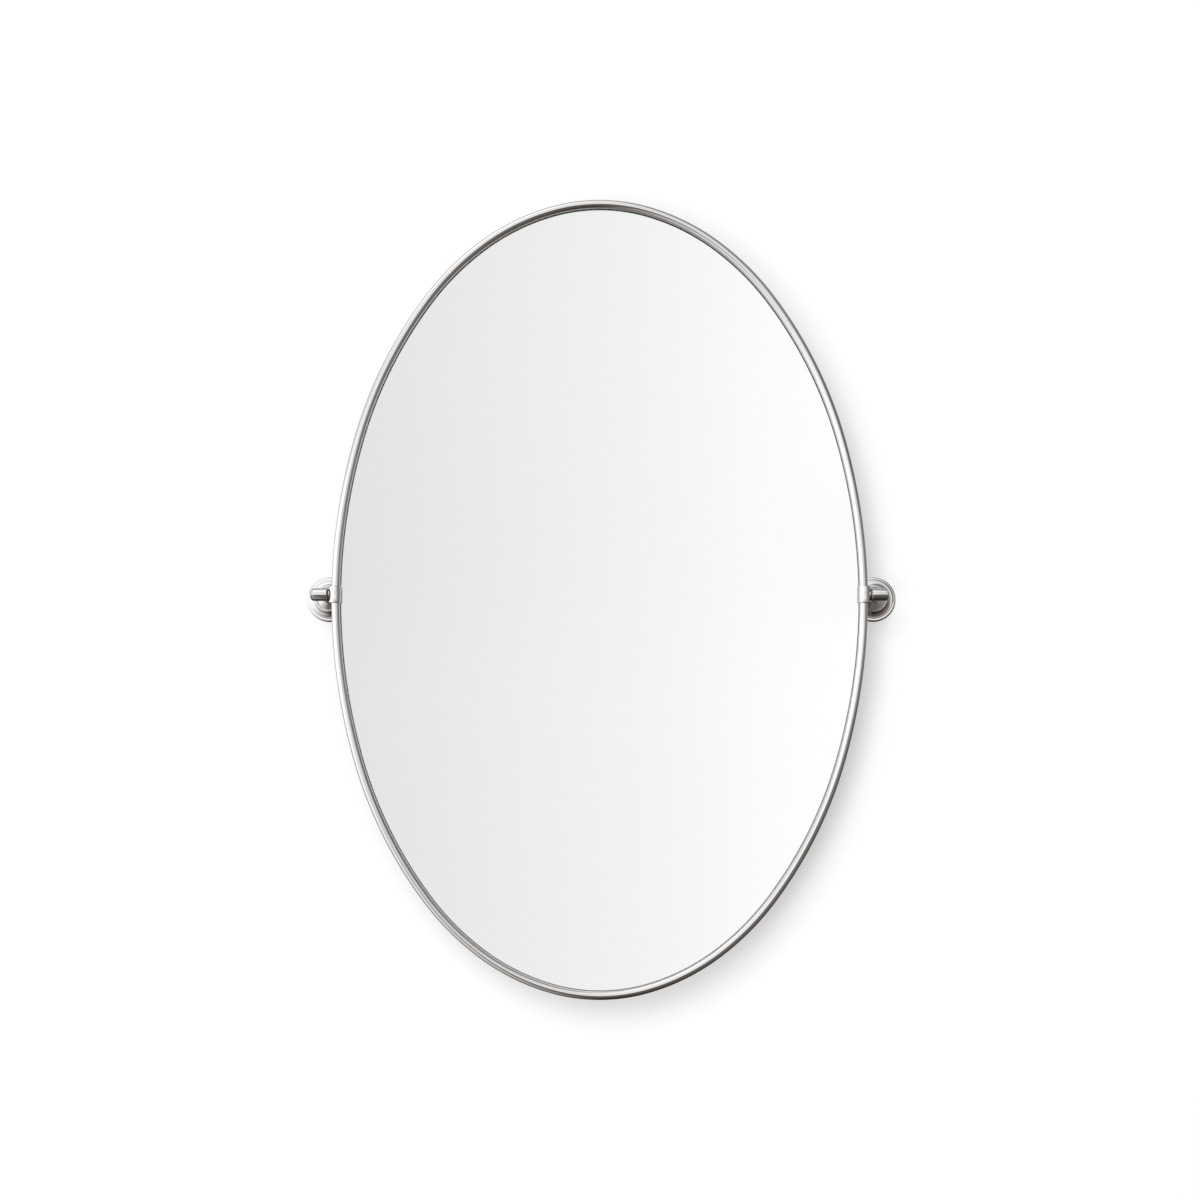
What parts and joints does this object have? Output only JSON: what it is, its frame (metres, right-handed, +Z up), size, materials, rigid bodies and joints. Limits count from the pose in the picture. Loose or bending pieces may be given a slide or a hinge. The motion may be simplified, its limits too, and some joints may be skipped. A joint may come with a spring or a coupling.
{
  "type": "pivot wall mirror",
  "caption": "Oval wall mirror in a slim round metal tube frame, tilting on a level pivot line between round stepped wall brackets.",
  "frame": {"origin": "on the wall plane, midway between the two brackets, at the height of the pivot line", "axes": "+X to the viewer's right along the pivot line, +Y into the wall, +Z up; the glass faces -Y"},
  "size_m": [0.6896, 0.0712, 0.9138],
  "materials": {
    "polished_nickel": "polished nickel plate, slightly warm, with fine handling marks",
    "silvered_glass": "clear float glass silvered on its back, polished edge",
    "zinc_steel": "zinc-plated steel",
    "painted_fibreboard": "dark painted fibreboard, faint fibre grain",
    "black_rubber": "soft black rubber",
    "dark_nylon": "dark nylon, dull",
    "foam_tape": "white foam mounting tape"
  },
  "bodies": {
    "wall_brackets": {"wall_plate_left": "zinc_steel", "wall_plate_right": "zinc_steel", "rosette_left": "polished_nickel", "rosette_right": "polished_nickel", "set_screw_left": "zinc_steel", "set_screw_right": "zinc_steel", "post_left": "polished_nickel", "post_right": "polished_nickel", "post_screw_left": "zinc_steel", "post_screw_right": "zinc_steel", "barrel_left": "polished_nickel", "barrel_right": "polished_nickel", "pivot_bush_left": "dark_nylon", "pivot_bush_right": "dark_nylon", "friction_washer_left": "dark_nylon", "friction_washer_right": "dark_nylon", "spring_washer_left": "zinc_steel", "spring_washer_right": "zinc_steel", "end_cap_left": "polished_nickel", "end_cap_right": "polished_nickel"},
    "mirror": {"frame_tube": "polished_nickel", "rear_band": "polished_nickel", "mirror_glass": "silvered_glass", "mounting_tape": "foam_tape", "glazing_gasket": "black_rubber", "backing_board": "painted_fibreboard", "retaining_tabs": "zinc_steel", "tab_screws": "zinc_steel", "wall_bumpers": "black_rubber", "pivot_saddle_left": "polished_nickel", "pivot_saddle_right": "polished_nickel", "pivot_insert_left": "zinc_steel", "pivot_insert_right": "zinc_steel", "pivot_screw_left": "zinc_steel", "pivot_screw_right": "zinc_steel"}
  },
  "joints": [
    {"name": "mirror_tilt", "type": "hinge", "parent": "wall_brackets", "child": "mirror", "pos_m": [0, -0.064, 0], "axis": [1, 0, 0], "range_deg": [-6, 5.9]}
  ]
}
